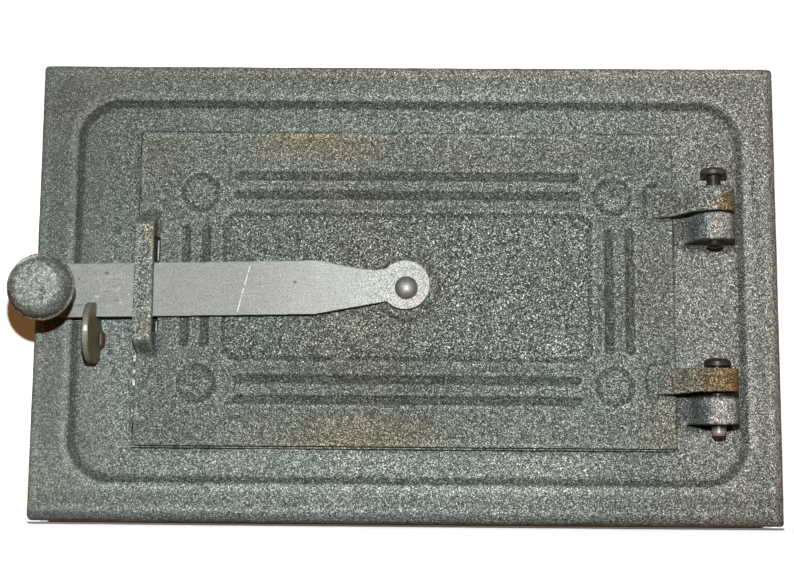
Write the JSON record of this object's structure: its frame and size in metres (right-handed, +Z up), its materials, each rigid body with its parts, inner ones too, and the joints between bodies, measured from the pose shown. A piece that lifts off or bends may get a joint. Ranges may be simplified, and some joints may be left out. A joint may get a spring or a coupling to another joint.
{
  "type": "stove door",
  "caption": "Cast-iron stove door: rectangular wall frame with a collar, a hinged panelled leaf, and a pivoting steel latch bar with a ball knob that drops in a hook keeper.",
  "frame": {"origin": "centre of the frame's collar on the wall plane, the rear face of the frame's rim", "axes": "+X to the right, towards the hinges; +Y back into the masonry; +Z up; the front faces -Y"},
  "size_m": [0.3248, 0.0719, 0.2003],
  "materials": {
    "frame_iron": "as cast, sand grain, lightly oiled",
    "leaf_iron": "as cast, sand grain, with ochre and rust stains",
    "knob_iron": "as cast, coarse grain",
    "bar_steel": "satin rolled steel, scratched",
    "keeper_steel": "worn bare edge, rusty sides",
    "pin_steel": "dark scale, oily",
    "rivet_steel": "dark scale, polished crown"
  },
  "bodies": {
    "frame": {"door_frame": "frame_iron", "keeper_hook": "keeper_steel", "hinge_pin_upper": "pin_steel", "hinge_pin_lower": "pin_steel"},
    "leaf": {"door_leaf": "leaf_iron", "latch_rivet": "rivet_steel", "rivet_washer": "rivet_steel"},
    "latch": {"latch_bar": "bar_steel", "latch_knob": "knob_iron"}
  },
  "joints": [
    {"name": "leaf_hinge", "type": "hinge", "parent": "frame", "child": "leaf", "pos_m": [0.1318, -0.0173, 0], "axis": [0, 0, 1], "range_deg": [0, 170]},
    {"name": "latch_pivot", "type": "hinge", "parent": "leaf", "child": "latch", "pos_m": [0.0002, -0.0132, 0.0009], "axis": [0, 1, 0], "range_deg": [0, 5.5]}
  ]
}
